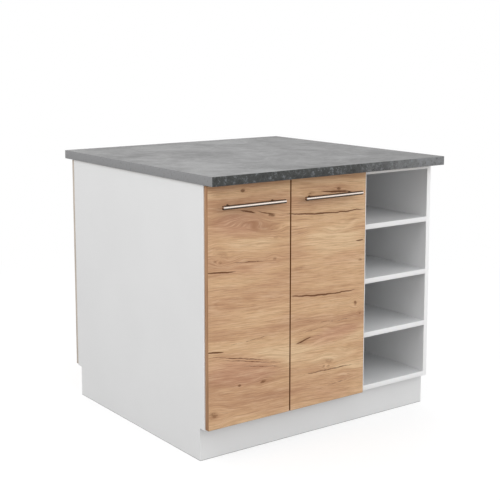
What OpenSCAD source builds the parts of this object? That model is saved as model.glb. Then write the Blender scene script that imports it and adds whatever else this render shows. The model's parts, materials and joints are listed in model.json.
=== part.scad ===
// Kitchen island unit: a two-door cupboard and an open shelf unit under one worktop,
// between two full-depth side panels, with three fixed cover panels on the back.
// The origin is on the floor in the middle of the unit. The doors face -Y, the open shelves are at +X.
// Millimetres.

/* [Carcass] */
// Width over the two side panels
carcass_w = 900; // [780:1:1100]
// Depth of the side panels, front edge to back edge
carcass_d = 792; // [700:1:1000]
// Height of the carcass, floor to the underside of the worktop
carcass_h = 820; // [740:1:900]
// Thickness of the coated boards
board_t = 16; // [15:0.5:19]
// Outer width of the open shelf unit
shelf_unit_w = 300; // [260:1:360]
// Depth of the cupboard and the shelf unit
unit_d = 560; // [460:1:600]
// Thickness of the hardboard backs
back_t = 3; // [2.5:0.1:5]
// Distance from the back of a unit to its hardboard back
back_inset = 20; // [12:1:40]
// Depth of the groove that holds a hardboard back
groove_d = 6; // [4:0.5:8]
// Depth of the two top rails of the cupboard, front to back
top_rail_d = 80; // [60:1:120]
// Height of the three rails that carry the cover panels
rear_rail_h = 100; // [70:1:140]

/* [Plinth] */
// Height of the plinth
plinth_h = 100; // [80:1:140]
// Depth of the toe space at the front
front_kick = 24; // [15:1:50]
// Depth of the toe space at the back
rear_kick = 24; // [15:1:50]

/* [Worktop] */
// Thickness of the worktop
worktop_t = 28; // [20:0.5:40]
// Overhang past each side panel
side_overhang = 5; // [0:0.5:20]
// Overhang past the door faces
front_overhang = 36.5; // [33:0.5:80]
// Overhang past the cover panels
rear_overhang = 38; // [10:0.5:80]

/* [Shelves] */
// Number of compartments in the open shelf unit
compartments = 4; // [2:1:5]
// Height of the cupboard shelf above the floor, as a share of the space inside
cupboard_shelf_at = 0.5; // [0.3:0.05:0.7]
// Distance that the cupboard shelf lies back from the front edge
cupboard_shelf_setback = 30; // [20:1:80]
// Play at each end of the cupboard shelf
shelf_play = 0.5; // [0.3:0.1:1.5]
// Diameter of the shelf pins
pin_d = 5; // [4:0.5:6]
// Spacing of the holes for the shelf pins
pin_pitch = 32; // [25:1:40]

/* [Doors and cover panels] */
// Thickness of the fronts
front_t = 16; // [16:0.5:19]
// Gap between the back of a door and the carcass
door_gap = 1.5; // [1.2:0.1:2]
// Distance from a door's hinge edge to the edge of its cupboard
door_reveal = 2; // [1.5:0.1:2.5]
// Gap between two neighbouring fronts
front_split = 3; // [2.5:0.1:5]
// Gap above and below the fronts
front_end_gap = 2.5; // [1.5:0.1:4]
// Diameter of the rubber pads on the doors
bumper_d = 8; // [6:0.5:10]

/* [Handles] */
// Length of the handle bar
bar_l = 224; // [190:1:260]
// Diameter of the handle bar
bar_d = 12; // [8:0.5:14]
// Distance between the two posts
post_pitch = 160; // [96:32:160]
// Diameter of a post
post_d = 8; // [6:0.5:10]
// Distance from the door face to the middle of the bar
bar_standoff = 25; // [20:0.5:30]
// Distance from the top of the door to the middle of the bar
bar_drop = 61.5; // [40:0.5:120]

/* [Hinges] */
// Diameter of the hinge cup
cup_d = 35; // [35:0.5:36]
// Depth of the hinge cup
cup_depth = 12.5; // [12.3:0.1:12.8]
// Distance from the door's edge to the edge of the cup
cup_edge = 5; // [5:0.1:5.5]
// Distance from the end of a door to the middle of a hinge
hinge_from_end = 100; // [70:1:150]
// Diameter of the hinge pin
hinge_pin_d = 3.2; // [2.6:0.1:3.4]
// Length of the hinge arm inside the cupboard
hinge_arm_l = 64; // [56:1:80]
// Distance from the cupboard's front edge to the screws of the mounting plate
plate_screw_y = 37; // [34:1:40]

/* [Fittings] */
// Diameter of the wooden dowels
dowel_d = 8; // [6:0.5:8]
// Length of the wooden dowels
dowel_l = 30; // [24:1:35]
// Depth of a dowel in the upright board
dowel_in = 10; // [8:0.5:11]
// Diameter of a cam lock
cam_d = 15; // [12:0.5:16]
// Thickness of a cam lock
cam_t = 12.5; // [11:0.1:13]
// Distance from the end of a board to the middle of its cam lock
cam_setback = 34; // [30:0.5:40]
// Diameter of a cam bolt
cam_bolt_d = 6; // [5:0.1:7]
// Diameter of a wood screw's shank
screw_d = 3.5; // [3:0.1:4]

/* [Hidden] */
$fn = 48;
eps = 0.01;
fit = 0.1;                  // gap all round a fastener in its hole
run = 0.05;                 // gap all round a turning pin
hold = 0.02;                // gap all round a pin that its hole grips
over = 1;                   // how far a cutting shape runs past the face that it cuts
left_x = -carcass_w / 2;
right_x = carcass_w / 2;
front_y = -carcass_d / 2;
back_y = carcass_d / 2;
cupboard_x0 = left_x + board_t;                      // clear width of the cupboard
cupboard_x1 = right_x - shelf_unit_w - board_t;
shelf_x0 = right_x - shelf_unit_w + board_t;         // clear width of the shelf unit
shelf_x1 = right_x - board_t;
unit_back_y = front_y + unit_d;
back_y0 = unit_back_y - back_inset - back_t;         // front face of the hardboard backs
floor_z = plinth_h + board_t;                        // top of the bottom boards
roof_z = carcass_h - board_t;                        // underside of the top boards
inner_h = roof_z - floor_z;
compartment_h = (inner_h - (compartments - 1) * board_t) / compartments;
cupboard_shelf_z = floor_z + inner_h * cupboard_shelf_at - board_t / 2;
shelf_depth = back_y0 - front_y;

front_z0 = plinth_h + front_end_gap;                 // lower and upper ends of the fronts
front_z1 = carcass_h - front_end_gap;
door_face_y = front_y - door_gap - front_t;
door_back_y = front_y - door_gap;
cupboard_w = carcass_w - shelf_unit_w;
door_w = (cupboard_w - 2 * door_reveal - front_split) / 2;
panel_w = (carcass_w - 2 * door_reveal - 2 * front_split) / 3;
panel_x = [for (i = [0:2]) left_x + door_reveal + i * (panel_w + front_split)];

// Hinge geometry, seen from above in the frame of the left door: x from the outer face of the
// cupboard's side, y outwards from the front edge of the cupboard.
cup_x = door_reveal + cup_edge + cup_d / 2;
cup_wall = 1.1;
cup_r = cup_d / 2 - fit;
hollow_r = cup_r - cup_wall;
rim_t = 0.8;
swing = [6.5, 11.5];        // virtual axis that the door turns about
nose = [21.25, 8.75];       // pin at the nose of the arm
knee = [29.5, 2];           // bend of the link
tip = [36.75, 9.5];         // end of the link, in the hollow of the cup
nose_r = 3;
link_r = 1.7;               // half the thickness of the link
link_nose_r = 2.6;
link_tip_r = 2.4;
link_hole_r = 1.2;
link_w = 9.6;
cheek_t = 1.4;
cheek_gap = 0.5;
web_t = 1.2;
web_from_edge = 3;          // the arm's web ends this far behind the cupboard's front edge
arm_w = link_w + 2 * (cheek_gap + cheek_t);
arm_x0 = board_t + 3.2;
arm_x1 = board_t + 8.2;
pin_end = 0.4;              // the pin stands this far out of each cheek
rim_w = 1.2;                // the cup's rim stands this far out round the cup
ear_r = 6;
cup_screw = [cup_x + 9.5, 24];
cup_screw_l = 11;
plate_t = 2;
plate_wing_r = 7;
plate_screw_z = 16;
plate_screw_l = 11;
plate_floor_t = 1;          // what is left under the arm's screws
plate_rail_w = arm_w - 2 * cheek_t - 2 * fit;
plate_rail_y0 = 2 - hinge_arm_l;
plate_rail_y1 = -12;
arm_screw_ys = [-plate_screw_y + 13, -plate_screw_y - 15];
arm_screw_l = 5.5;
hinge_z = [front_z0 + hinge_from_end, front_z1 - hinge_from_end];

// Handles
bar_z = front_z1 - bar_drop;
bar_arris = 0.8;
collar_r = post_d / 2 + 1;
collar_t = 1.2;
handle_screw_d = 4;
handle_screw_play = 0.3;    // gap all round a handle screw in the door
handle_screw_in = 10;       // length of screw in the post
handle_screw_head_r = 4;
handle_screw_head_t = 2.4;
bumper_in = 15;             // distance from a door's free edge to the middle of its pads

// A joint between a board's end and an upright: [x of the upright's face, direction into the
// board, y, z of the board's middle, roll of the cam's bore about X].
function ends(x0, x1, ys, z, roll = 0) =
    [for (y = ys) for (s = [0, 1]) [s == 0 ? x0 : x1, 1 - 2 * s, y, z, roll]];
function at_face(joints, x) = [for (j = joints) if (abs(j[0] - x) < 1) j];

bottom_mid_z = plinth_h + board_t / 2;
top_mid_z = carcass_h - board_t / 2;
cam_from_front = 60;
cam_from_back = 90;
dowel_from_cam = 40;
cam_ys = [front_y + cam_from_front, unit_back_y - cam_from_back];
dowel_ys = [cam_ys[0] + dowel_from_cam, cam_ys[1] - dowel_from_cam];
rail_ys = [front_y + top_rail_d / 2, unit_back_y - top_rail_d / 2];
rail_dowel_in = 15;         // distance from a top rail's inner edge to its dowels
rail_dowel_off = top_rail_d / 2 - rail_dowel_in;
open_shelf_z = [for (i = [1:compartments - 1]) floor_z + i * (compartment_h + board_t) - board_t];
shelf_dowel_in = 60;        // distance from an open shelf's front and back edges to its dowels
shelf_dowel_ys = [front_y + shelf_dowel_in, front_y + shelf_depth - shelf_dowel_in];
plinth_dowel_at = [0.25, 0.75];      // shares of the height
rear_rail_dowel_at = [0.2, 0.8];
rear_rail_z = [plinth_h, (plinth_h + carcass_h - rear_rail_h) / 2, carcass_h - rear_rail_h];
rear_rail_mid_y = back_y - board_t / 2;
plinth_mid_y = [front_y + front_kick + board_t / 2, back_y - rear_kick - board_t / 2];

cupboard_bottom_cams = ends(cupboard_x0, cupboard_x1, cam_ys, bottom_mid_z);
shelf_bottom_cams = ends(shelf_x0, shelf_x1, cam_ys, bottom_mid_z);
shelf_top_cams = ends(shelf_x0, shelf_x1, cam_ys, top_mid_z);
front_rail_cams = ends(cupboard_x0, cupboard_x1, [rail_ys[0]], top_mid_z);
rear_top_rail_cams = ends(cupboard_x0, cupboard_x1, [rail_ys[1]], top_mid_z);
function rear_rail_cams(i) =
    ends(cupboard_x0, shelf_x1, [rear_rail_mid_y], rear_rail_z[i] + rear_rail_h / 2, -90);
cams = concat(cupboard_bottom_cams, shelf_bottom_cams, shelf_top_cams, front_rail_cams,
    rear_top_rail_cams, rear_rail_cams(0), rear_rail_cams(1), rear_rail_cams(2));

cupboard_bottom_dowels = ends(cupboard_x0, cupboard_x1, dowel_ys, bottom_mid_z);
shelf_bottom_dowels = ends(shelf_x0, shelf_x1, dowel_ys, bottom_mid_z);
shelf_top_dowels = ends(shelf_x0, shelf_x1, dowel_ys, top_mid_z);
front_rail_dowels = ends(cupboard_x0, cupboard_x1, [rail_ys[0] + rail_dowel_off], top_mid_z);
rear_top_rail_dowels = ends(cupboard_x0, cupboard_x1, [rail_ys[1] - rail_dowel_off], top_mid_z);
function shelf_dowels(i) = ends(shelf_x0, shelf_x1, shelf_dowel_ys, open_shelf_z[i] + board_t / 2);
function plinth_dowels(i) =
    [for (at = plinth_dowel_at) each ends(cupboard_x0, shelf_x1, [plinth_mid_y[i]], plinth_h * at)];
function rear_rail_dowels(i) =
    [for (at = rear_rail_dowel_at) each ends(cupboard_x0, shelf_x1, [rear_rail_mid_y],
        rear_rail_z[i] + rear_rail_h * at)];
dowel_joints = concat(cupboard_bottom_dowels, shelf_bottom_dowels, shelf_top_dowels,
    front_rail_dowels, rear_top_rail_dowels, plinth_dowels(0), plinth_dowels(1),
    rear_rail_dowels(0), rear_rail_dowels(1), rear_rail_dowels(2),
    [for (i = [0:compartments - 2]) each shelf_dowels(i)]);

// Holes for the shelf pins, in two columns on each side of the cupboard
pin_from_shelf_front = 40;
pin_from_back = 60;
pin_ys = [front_y + cupboard_shelf_setback + pin_from_shelf_front, back_y0 - pin_from_back];
pin_in = 9;
pin_out = 8;
pin_rows = [-2:2];
pin_z = cupboard_shelf_z - pin_d / 2;
pin_arris = 0.5;

// Cam fittings: the bolt's neck and head lie in the lock
cam_neck_d = 3.6;
cam_neck_x = cam_setback - cam_d / 2 + 1;
cam_neck_l = 1.5;
cam_head_t = 2.5;
cam_head_d = cam_bolt_d - 0.8;
cam_head_x = cam_setback - 0.5;      // outer face of the head
cam_slot_w = cam_neck_d + 0.6;

// Bolts that join the cupboard's side to the shelf unit's side
unit_bolt_d = 6;
unit_bolt_head_d = 13;
unit_bolt_head_t = 1.6;
unit_bolt_from_front = 90;
unit_bolt_from_back = 150;
unit_bolt_from_end = 60;
unit_bolt_yz = [for (y = [front_y + unit_bolt_from_front, unit_back_y - unit_bolt_from_back])
    for (z = [floor_z + unit_bolt_from_end, roof_z - unit_bolt_from_end]) [y, z]];

// Clips of the cover panels: [x, z] of each
clip_d = 10;
clip_in_panel = 10;
clip_in_rail = 12;
clip_edge = 80;             // distance from a panel's upright edges
clip_ribs = 4;
clip_rib_h = 0.6;
clip_slot_w = 1.2;
clip_slot_l = 8;
clip_xz = [for (x = panel_x) for (dx = [clip_edge, panel_w - clip_edge])
    for (z = rear_rail_z) [x + dx, z + rear_rail_h / 2]];

// Screws up into the worktop: [x, y]
worktop_screw_in = 14;
worktop_screw_at = [0.2, 0.8];       // shares of the cupboard's clear width
screw_head_d = 7;
screw_head_t = 2;
screw_hole_d = screw_d + 2 * fit;
worktop_screw_xy = concat(
    [for (y = rail_ys) for (at = worktop_screw_at) [cupboard_x0 + at * (cupboard_x1 - cupboard_x0), y]],
    [for (y = rail_ys) [(shelf_x0 + shelf_x1) / 2, y]]);

// Steel angles between the top rear rail and the worktop
bracket_w = 40;
bracket_leg = 30;
bracket_t = 2;
bracket_bend_r = 3;
bracket_from_side = 180;
bracket_hole_at = 18;       // distance from the bend to the holes
bracket_rail_screw_l = 13;
bracket_x = [left_x + bracket_from_side, right_x - bracket_from_side];

// ---- shared shapes ----

module block(lo, hi) {
    translate(lo) cube(hi - lo);
}

// A round bar along X, Y or Z from a point
module bar_x(p, l, d) { translate(p) rotate([0, 90, 0]) cylinder(d = d, h = l); }
module bar_y(p, l, d) { translate(p) rotate([-90, 0, 0]) cylinder(d = d, h = l); }
module bar_z(p, l, d) { translate(p) cylinder(d = d, h = l); }

// Puts a fitting at a joint: local x runs into the board, the cam's bore opens to local -z
module at_joint(j) {
    translate([j[0], j[2], j[3]])
        mirror([j[1] < 0 ? 1 : 0, 0, 0])
            rotate([j[4], 0, 0])
                children();
}

module cam_cuts(joints) {
    for (j = joints) at_joint(j) {
        bar_x([-dowel_in - over, 0, 0], dowel_in + over + cam_setback, cam_bolt_d + 2 * fit);
        bar_z([cam_setback, 0, -board_t / 2 - eps], cam_t + eps, cam_d + 2 * fit);
    }
}

module dowel_cuts(joints) {
    for (j = joints) at_joint(j)
        bar_x([-dowel_in - fit, 0, 0], dowel_l + 2 * fit, dowel_d + 2 * fit);
}

// A coated board from corner to corner, with the holes for its own joints
module board(lo, hi, cam_list = [], dowel_list = []) {
    difference() {
        block(lo, hi);
        cam_cuts(cam_list);
        dowel_cuts(dowel_list);
    }
}

// A pan-head wood screw: the head's underside is at the origin, the shank runs along +Z
module wood_screw(l) {
    head_arris = 0.8;
    point_l = 3;
    rotate_extrude()
        polygon([[0, -screw_head_t], [screw_head_d / 2 - head_arris, -screw_head_t],
            [screw_head_d / 2, head_arris - screw_head_t], [screw_head_d / 2, 0], [screw_d / 2, 0],
            [screw_d / 2, l - point_l], [0, l]]);
}

// A flat strip with round ends between two points
module strip(a, b, r) {
    d = b - a;
    translate(a) circle(r);
    translate(b) circle(r);
    translate(a) rotate(atan2(d[1], d[0])) translate([0, -r]) square([norm(d), 2 * r]);
}

// ---- boards ----

module worktop() {
    color("dimgray")
    difference() {
        block([left_x - side_overhang, door_face_y - front_overhang, carcass_h],
            [right_x + side_overhang, back_y + front_t + rear_overhang, carcass_h + worktop_t]);
        for (p = worktop_screw_xy)
            bar_z([p[0], p[1], carcass_h - eps], worktop_screw_in + over, screw_hole_d);
        for (p = bracket_top_screws())
            bar_z([p[0], p[1], carcass_h - eps], worktop_screw_in + over, screw_hole_d);
    }
}

module side_profile() {
    polygon([[front_y, plinth_h], [front_y, carcass_h], [back_y, carcass_h], [back_y, plinth_h],
        [back_y - rear_kick, plinth_h], [back_y - rear_kick, 0],
        [front_y + front_kick, 0], [front_y + front_kick, plinth_h]]);
}

// Stands a profile drawn in Y and Z on the plane x
module upright(x, t = board_t) {
    translate([x, 0, 0]) rotate([90, 0, 90]) linear_extrude(t) children();
}

module back_groove(x) {
    block([x - groove_d, back_y0 - fit, floor_z - groove_d],
        [x + groove_d, back_y0 + back_t + fit, roof_z + groove_d]);
}

module pin_holes(x) {
    for (y = pin_ys) for (i = pin_rows)
        bar_x([x - pin_in - fit, y, pin_z + i * pin_pitch], 2 * (pin_in + fit), pin_d + 2 * fit);
}

// Holes for the screws of the hinge plates, in the board whose inner face is at local x = board_t
module plate_holes() {
    for (z = hinge_z) for (s = [-1, 1])
        bar_x([board_t - plate_screw_l - over, -plate_screw_y, z + s * plate_screw_z],
            plate_screw_l + over + eps, screw_hole_d);
}

module side_panel_left() {
    color("white")
    difference() {
        upright(left_x) side_profile();
        cam_cuts(at_face(cams, cupboard_x0));
        dowel_cuts(at_face(dowel_joints, cupboard_x0));
        back_groove(cupboard_x0);
        pin_holes(cupboard_x0);
        hinge_frame("left") plate_holes();
    }
}

module side_panel_right() {
    color("white")
    difference() {
        upright(right_x - board_t) side_profile();
        cam_cuts(at_face(cams, shelf_x1));
        dowel_cuts(at_face(dowel_joints, shelf_x1));
        back_groove(shelf_x1);
    }
}

// An inner side reaches the floor behind the front plinth board
module inner_side_profile() {
    polygon([[front_y, plinth_h], [front_y, carcass_h], [unit_back_y, carcass_h], [unit_back_y, 0],
        [front_y + front_kick + board_t, 0], [front_y + front_kick + board_t, plinth_h]]);
}

module unit_bolt_holes() {
    for (p = unit_bolt_yz)
        bar_x([cupboard_x1 - over, p[0], p[1]], 2 * (board_t + over), unit_bolt_d + 2 * fit);
}

module cupboard_side() {
    color("white")
    difference() {
        upright(cupboard_x1) inner_side_profile();
        cam_cuts(at_face(cams, cupboard_x1));
        dowel_cuts(at_face(dowel_joints, cupboard_x1));
        back_groove(cupboard_x1);
        pin_holes(cupboard_x1);
        unit_bolt_holes();
        hinge_frame("right") plate_holes();
    }
}

module shelf_unit_side() {
    color("white")
    difference() {
        upright(shelf_x0 - board_t) inner_side_profile();
        cam_cuts(at_face(cams, shelf_x0));
        dowel_cuts(at_face(dowel_joints, shelf_x0));
        back_groove(shelf_x0);
        unit_bolt_holes();
    }
}

// A bottom or top board of a unit, grooved for the hardboard back
module unit_board(x0, x1, z, groove_z, cam_list, dowel_list) {
    difference() {
        board([x0, front_y, z], [x1, unit_back_y, z + board_t], cam_list, dowel_list);
        block([x0 - over, back_y0 - fit, groove_z - groove_d],
            [x1 + over, back_y0 + back_t + fit, groove_z + groove_d]);
    }
}

module cupboard_bottom() {
    color("white")
    unit_board(cupboard_x0, cupboard_x1, plinth_h, floor_z, cupboard_bottom_cams,
        cupboard_bottom_dowels);
}

module shelf_unit_bottom() {
    color("white")
    unit_board(shelf_x0, shelf_x1, plinth_h, floor_z, shelf_bottom_cams, shelf_bottom_dowels);
}

module worktop_screw_holes() {
    for (p = worktop_screw_xy) bar_z([p[0], p[1], roof_z - over], board_t + 2 * over, screw_hole_d);
}

module shelf_unit_top() {
    color("white")
    difference() {
        unit_board(shelf_x0, shelf_x1, roof_z, roof_z, shelf_top_cams, shelf_top_dowels);
        worktop_screw_holes();
    }
}

module cupboard_front_rail() {
    color("white")
    difference() {
        board([cupboard_x0, front_y, roof_z], [cupboard_x1, front_y + top_rail_d, carcass_h],
            front_rail_cams, front_rail_dowels);
        worktop_screw_holes();
    }
}

module cupboard_rear_rail() {
    color("white")
    difference() {
        board([cupboard_x0, unit_back_y - top_rail_d, roof_z], [cupboard_x1, unit_back_y, carcass_h],
            rear_top_rail_cams, rear_top_rail_dowels);
        worktop_screw_holes();
        block([cupboard_x0 - over, back_y0 - fit, roof_z - over],
            [cupboard_x1 + over, back_y0 + back_t + fit, roof_z + groove_d]);
    }
}

module cupboard_shelf() {
    color("white")
    block([cupboard_x0 + shelf_play, front_y + cupboard_shelf_setback, cupboard_shelf_z],
        [cupboard_x1 - shelf_play, back_y0 - shelf_play, cupboard_shelf_z + board_t]);
}

module open_shelf(i) {
    if (i < compartments - 1)
        color("white")
        board([shelf_x0, front_y, open_shelf_z[i]], [shelf_x1, back_y0, open_shelf_z[i] + board_t],
            [], shelf_dowels(i));
}
module open_shelf_lower() { open_shelf(0); }
module open_shelf_middle() { open_shelf(1); }
module open_shelf_upper() { open_shelf(2); }

// A hardboard back fills its grooves but for the fit
module hardboard(x0, x1) {
    color("gainsboro")
    block([x0 - groove_d + fit, back_y0, floor_z - groove_d + fit],
        [x1 + groove_d - fit, back_y0 + back_t, roof_z + groove_d - fit]);
}
module cupboard_back() { hardboard(cupboard_x0, cupboard_x1); }
module shelf_unit_back() { hardboard(shelf_x0, shelf_x1); }

module plinth(i) {
    color("white")
    board([cupboard_x0, plinth_mid_y[i] - board_t / 2, 0],
        [shelf_x1, plinth_mid_y[i] + board_t / 2, plinth_h], [], plinth_dowels(i));
}
module plinth_front() { plinth(0); }
module plinth_rear() { plinth(1); }

module rear_rail(i) {
    color("white")
    difference() {
        board([cupboard_x0, back_y - board_t, rear_rail_z[i]],
            [shelf_x1, back_y, rear_rail_z[i] + rear_rail_h], rear_rail_cams(i), rear_rail_dowels(i));
        for (p = clip_xz) if (abs(p[1] - rear_rail_z[i] - rear_rail_h / 2) < 1)
            bar_y([p[0], back_y - clip_in_rail - fit, p[1]], clip_in_rail + over, clip_d + 2 * fit);
        if (i == 2) for (p = bracket_rail_screws())
            bar_y([p[0], back_y - board_t - eps, p[1]], bracket_rail_screw_l, screw_hole_d);
    }
}
module rear_rail_bottom() { rear_rail(0); }
module rear_rail_middle() { rear_rail(1); }
module rear_rail_top() { rear_rail(2); }

module cover_panel(i) {
    color("burlywood")
    difference() {
        block([panel_x[i], back_y, front_z0], [panel_x[i] + panel_w, back_y + front_t, front_z1]);
        for (p = clip_xz) if (p[0] > panel_x[i] && p[0] < panel_x[i] + panel_w)
            bar_y([p[0], back_y - over, p[1]], clip_in_panel + over + fit, clip_d + 2 * fit);
    }
}
module cover_panel_left() { cover_panel(2); }
module cover_panel_middle() { cover_panel(1); }
module cover_panel_right() { cover_panel(0); }

// ---- doors and handles ----

// The hinge frame of a door: x from the cupboard's outer face, y outwards from its front edge
module hinge_frame(side) {
    translate([side == "right" ? left_x + cupboard_w : left_x, front_y, 0])
        mirror([side == "right" ? 1 : 0, 0, 0])
            mirror([0, 1, 0])
                children();
}

function door_x0(side) =
    side == "left" ? left_x + door_reveal : left_x + cupboard_w - door_reveal - door_w;
function door_mid(side) = door_x0(side) + door_w / 2;

module door(side) {
    color("burlywood")
    difference() {
        block([door_x0(side), door_face_y, front_z0], [door_x0(side) + door_w, door_back_y, front_z1]);
        for (s = [-1, 1])
            bar_y([door_mid(side) + s * post_pitch / 2, door_face_y - over, bar_z], front_t + 2 * over,
                handle_screw_d + 2 * handle_screw_play);
        hinge_frame(side) for (z = hinge_z) {
            bar_y([cup_x, door_gap - over, z], cup_depth + over, cup_d);
            for (s = [-1, 1])
                bar_y([cup_screw[0], door_gap - over, z + s * cup_screw[1]], cup_screw_l + over,
                    screw_hole_d);
        }
    }
}
module door_left() { door("left"); }
module door_right() { door("right"); }

module handle_bar(side) {
    color("silver")
    translate([door_mid(side) - bar_l / 2, door_face_y - bar_standoff, bar_z])
        rotate([0, 90, 0])
            rotate_extrude()
                polygon([[0, 0], [bar_d / 2 - bar_arris, 0], [bar_d / 2, bar_arris],
                    [bar_d / 2, bar_l - bar_arris], [bar_d / 2 - bar_arris, bar_l], [0, bar_l]]);
}
module handle_bar_left() { handle_bar("left"); }
module handle_bar_right() { handle_bar("right"); }

// A post widens to a collar at the door and is scooped where it meets the bar
module handle_posts(side) {
    color("silver")
    for (s = [-1, 1])
        translate([door_mid(side) + s * post_pitch / 2, door_face_y, bar_z])
            difference() {
                rotate([90, 0, 0])
                    rotate_extrude()
                        polygon([[0, 0], [collar_r, 0], [collar_r, collar_t],
                            [post_d / 2, 2 * collar_t], [post_d / 2, bar_standoff], [0, bar_standoff]]);
                bar_x([-post_d, -bar_standoff, 0], 2 * post_d, bar_d + 2 * hold);
                bar_y([0, -handle_screw_in - over, 0], handle_screw_in + 2 * over,
                    handle_screw_d + 2 * fit);
            }
}
module handle_posts_left() { handle_posts("left"); }
module handle_posts_right() { handle_posts("right"); }

module handle_screws(side) {
    head_arris = 1.2;
    screw_l = front_t + handle_screw_in;
    color("gainsboro")
    for (s = [-1, 1])
        translate([door_mid(side) + s * post_pitch / 2, door_back_y, bar_z])
            rotate([90, 0, 0])
                rotate_extrude()
                    polygon([[0, -handle_screw_head_t],
                        [handle_screw_head_r - head_arris, -handle_screw_head_t],
                        [handle_screw_head_r, head_arris - handle_screw_head_t],
                        [handle_screw_head_r, 0], [handle_screw_d / 2, 0],
                        [handle_screw_d / 2, screw_l], [0, screw_l]]);
}
module handle_screws_left() { handle_screws("left"); }
module handle_screws_right() { handle_screws("right"); }

// Rubber pads near the free edge, against the front rail and the bottom board
module door_bumpers(side) {
    pad_x = side == "left" ? door_x0("left") + door_w - bumper_in : door_x0("right") + bumper_in;
    color("lightgray")
    for (z = [bottom_mid_z, top_mid_z])
        bar_y([pad_x, door_back_y, z], door_gap - fit, bumper_d);
}
module door_bumpers_left() { door_bumpers("left"); }
module door_bumpers_right() { door_bumpers("right"); }

// ---- concealed hinges ----

// Draws an outline in the hinge frame's plan as a slab centred on each hinge's height
module slab(w) {
    for (z = hinge_z) translate([0, 0, z - w / 2]) linear_extrude(w) children();
}

// The rim of a cup, with an ear round each of its screws, seen from inside the cupboard
module cup_rim() {
    circle(cup_r + rim_w);
    for (s = [-1, 1])
        strip([0, 0], [cup_screw[0] - cup_x, s * cup_screw[1]], ear_r);
}

module hinge_cups(side) {
    color("lightgray")
    hinge_frame(side) for (z = hinge_z)
        difference() {
            union() {
                bar_y([cup_x, door_gap, z], cup_depth - fit, 2 * cup_r);
                translate([cup_x, door_gap, z]) rotate([90, 0, 0]) linear_extrude(rim_t) cup_rim();
            }
            bar_y([cup_x, door_gap - rim_t - over, z], over + rim_t + cup_depth - fit - cup_wall,
                2 * hollow_r);
            for (s = [-1, 1])
                bar_y([cup_screw[0], door_gap - rim_t - over, z + s * cup_screw[1]],
                    rim_t + 2 * over, screw_hole_d);
        }
}
module hinge_cups_left() { hinge_cups("left"); }
module hinge_cups_right() { hinge_cups("right"); }

module hinge_cup_screws(side) {
    color("gainsboro")
    hinge_frame(side) for (z = hinge_z) for (s = [-1, 1])
        translate([cup_screw[0], door_gap - rim_t, z + s * cup_screw[1]])
            rotate([-90, 0, 0]) wood_screw(cup_screw_l);
}
module hinge_cup_screws_left() { hinge_cup_screws("left"); }
module hinge_cup_screws_right() { hinge_cup_screws("right"); }

// The J-shaped link turns on the pin at the arm's nose and reaches into the cup
module hinge_links(side) {
    color("gainsboro")
    hinge_frame(side)
        slab(link_w)
            difference() {
                union() {
                    strip(nose, knee, link_r);
                    strip(knee, tip, link_r);
                    translate(nose) circle(link_nose_r);
                    translate(tip) circle(link_tip_r);
                }
                translate(nose) circle(d = hinge_pin_d + 2 * run);
                translate(tip) circle(link_hole_r);
            }
}
module hinge_links_left() { hinge_links("left"); }
module hinge_links_right() { hinge_links("right"); }

module hinge_pins(side) {
    color("silver")
    hinge_frame(side)
        slab(arm_w + 2 * pin_end) translate(nose) circle(d = hinge_pin_d);
}
module hinge_pins_left() { hinge_pins("left"); }
module hinge_pins_right() { hinge_pins("right"); }

// The arm is a channel: two cheeks that carry the pin, joined by a web
module arm_cheek() {
    difference() {
        union() {
            translate(nose) circle(nose_r);
            polygon([[arm_x0, -hinge_arm_l], [arm_x1, -hinge_arm_l], [arm_x1, 0],
                [nose[0] + nose_r, nose[1]], [nose[0] - nose_r, nose[1]], [arm_x0 + 0.3, 2], [arm_x0, 0]]);
        }
        translate(nose) circle(d = hinge_pin_d + 2 * hold);
    }
}

module hinge_arms(side) {
    color("gainsboro")
    hinge_frame(side)
        for (z = hinge_z)
            difference() {
                union() {
                    for (s = [-1, 1])
                        translate([0, 0, z + s * (arm_w - cheek_t) / 2 - cheek_t / 2])
                            linear_extrude(cheek_t) arm_cheek();
                    block([arm_x1 - web_t, -hinge_arm_l, z - arm_w / 2],
                        [arm_x1, -web_from_edge, z + arm_w / 2]);
                }
                for (y = arm_screw_ys) bar_x([arm_x1 - web_t - over, y, z], web_t + 2 * over, screw_hole_d);
            }
}
module hinge_arms_left() { hinge_arms("left"); }
module hinge_arms_right() { hinge_arms("right"); }

// The mounting plate is a cross: a bar with round ends for the screws, and a raised rail for the arm
module hinge_plates(side) {
    color("gainsboro")
    hinge_frame(side)
        for (z = hinge_z)
            difference() {
                union() {
                    upright(board_t, plate_t)
                        strip([-plate_screw_y, z - plate_screw_z], [-plate_screw_y, z + plate_screw_z],
                            plate_wing_r);
                    block([board_t, plate_rail_y0, z - plate_rail_w / 2],
                        [arm_x1 - web_t - fit, plate_rail_y1, z + plate_rail_w / 2]);
                }
                for (s = [-1, 1])
                    bar_x([board_t - over, -plate_screw_y, z + s * plate_screw_z], plate_t + 2 * over,
                        screw_hole_d);
                for (y = arm_screw_ys)
                    bar_x([board_t + plate_floor_t, y, z], arm_x1 - board_t, screw_hole_d);
            }
}
module hinge_plates_left() { hinge_plates("left"); }
module hinge_plates_right() { hinge_plates("right"); }

module hinge_plate_screws(side) {
    color("silver")
    hinge_frame(side) for (z = hinge_z) {
        for (s = [-1, 1])
            translate([board_t + plate_t, -plate_screw_y, z + s * plate_screw_z])
                rotate([0, -90, 0]) wood_screw(plate_screw_l);
        for (y = arm_screw_ys)
            translate([arm_x1, y, z]) rotate([0, -90, 0]) wood_screw(arm_screw_l);
    }
}
module hinge_plate_screws_left() { hinge_plate_screws("left"); }
module hinge_plate_screws_right() { hinge_plate_screws("right"); }

// ---- fittings ----

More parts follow.
